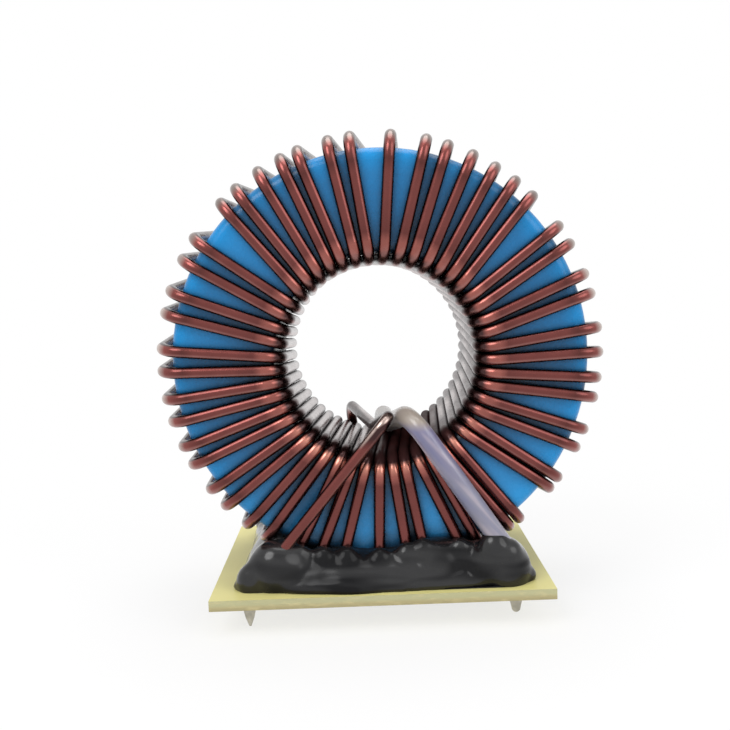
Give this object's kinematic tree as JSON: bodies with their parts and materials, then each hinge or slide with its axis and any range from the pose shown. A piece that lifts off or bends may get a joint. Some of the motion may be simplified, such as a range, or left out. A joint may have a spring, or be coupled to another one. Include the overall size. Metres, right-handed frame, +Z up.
{
  "type": "toroidal inductor",
  "caption": "Upright ring-core inductor wound with enamelled copper wire, bonded to a small laminate base board and ending in tinned pins for through-hole soldering.",
  "frame": {"origin": "middle of the board's underside, the plane that seats on a circuit board, midway between the pins", "axes": "+Z up from the seating plane, +Y along the ring's axis from front to back, +X to the right seen from the front"},
  "size_m": [0.0513, 0.0296, 0.0557],
  "materials": {
    "core_coating": "satin blue epoxy coating on pressed alloy powder",
    "enamelled_wire": "glossy reddish brown enamel on copper",
    "sleeve": "milky translucent tube",
    "laminate": "pale yellow glass laminate, cut edges",
    "adhesive": "glossy black epoxy",
    "tinned_wire": "dull solder coat"
  },
  "bodies": {
    "root": {"core": "core_coating", "winding_a": "enamelled_wire", "winding_b": "enamelled_wire", "lead_sleeve": "sleeve", "base_board": "laminate", "adhesive": "adhesive", "front_left_pin": "tinned_wire", "front_right_pin": "tinned_wire", "rear_left_pin": "tinned_wire", "rear_right_pin": "tinned_wire"}
  },
  "joints": []
}
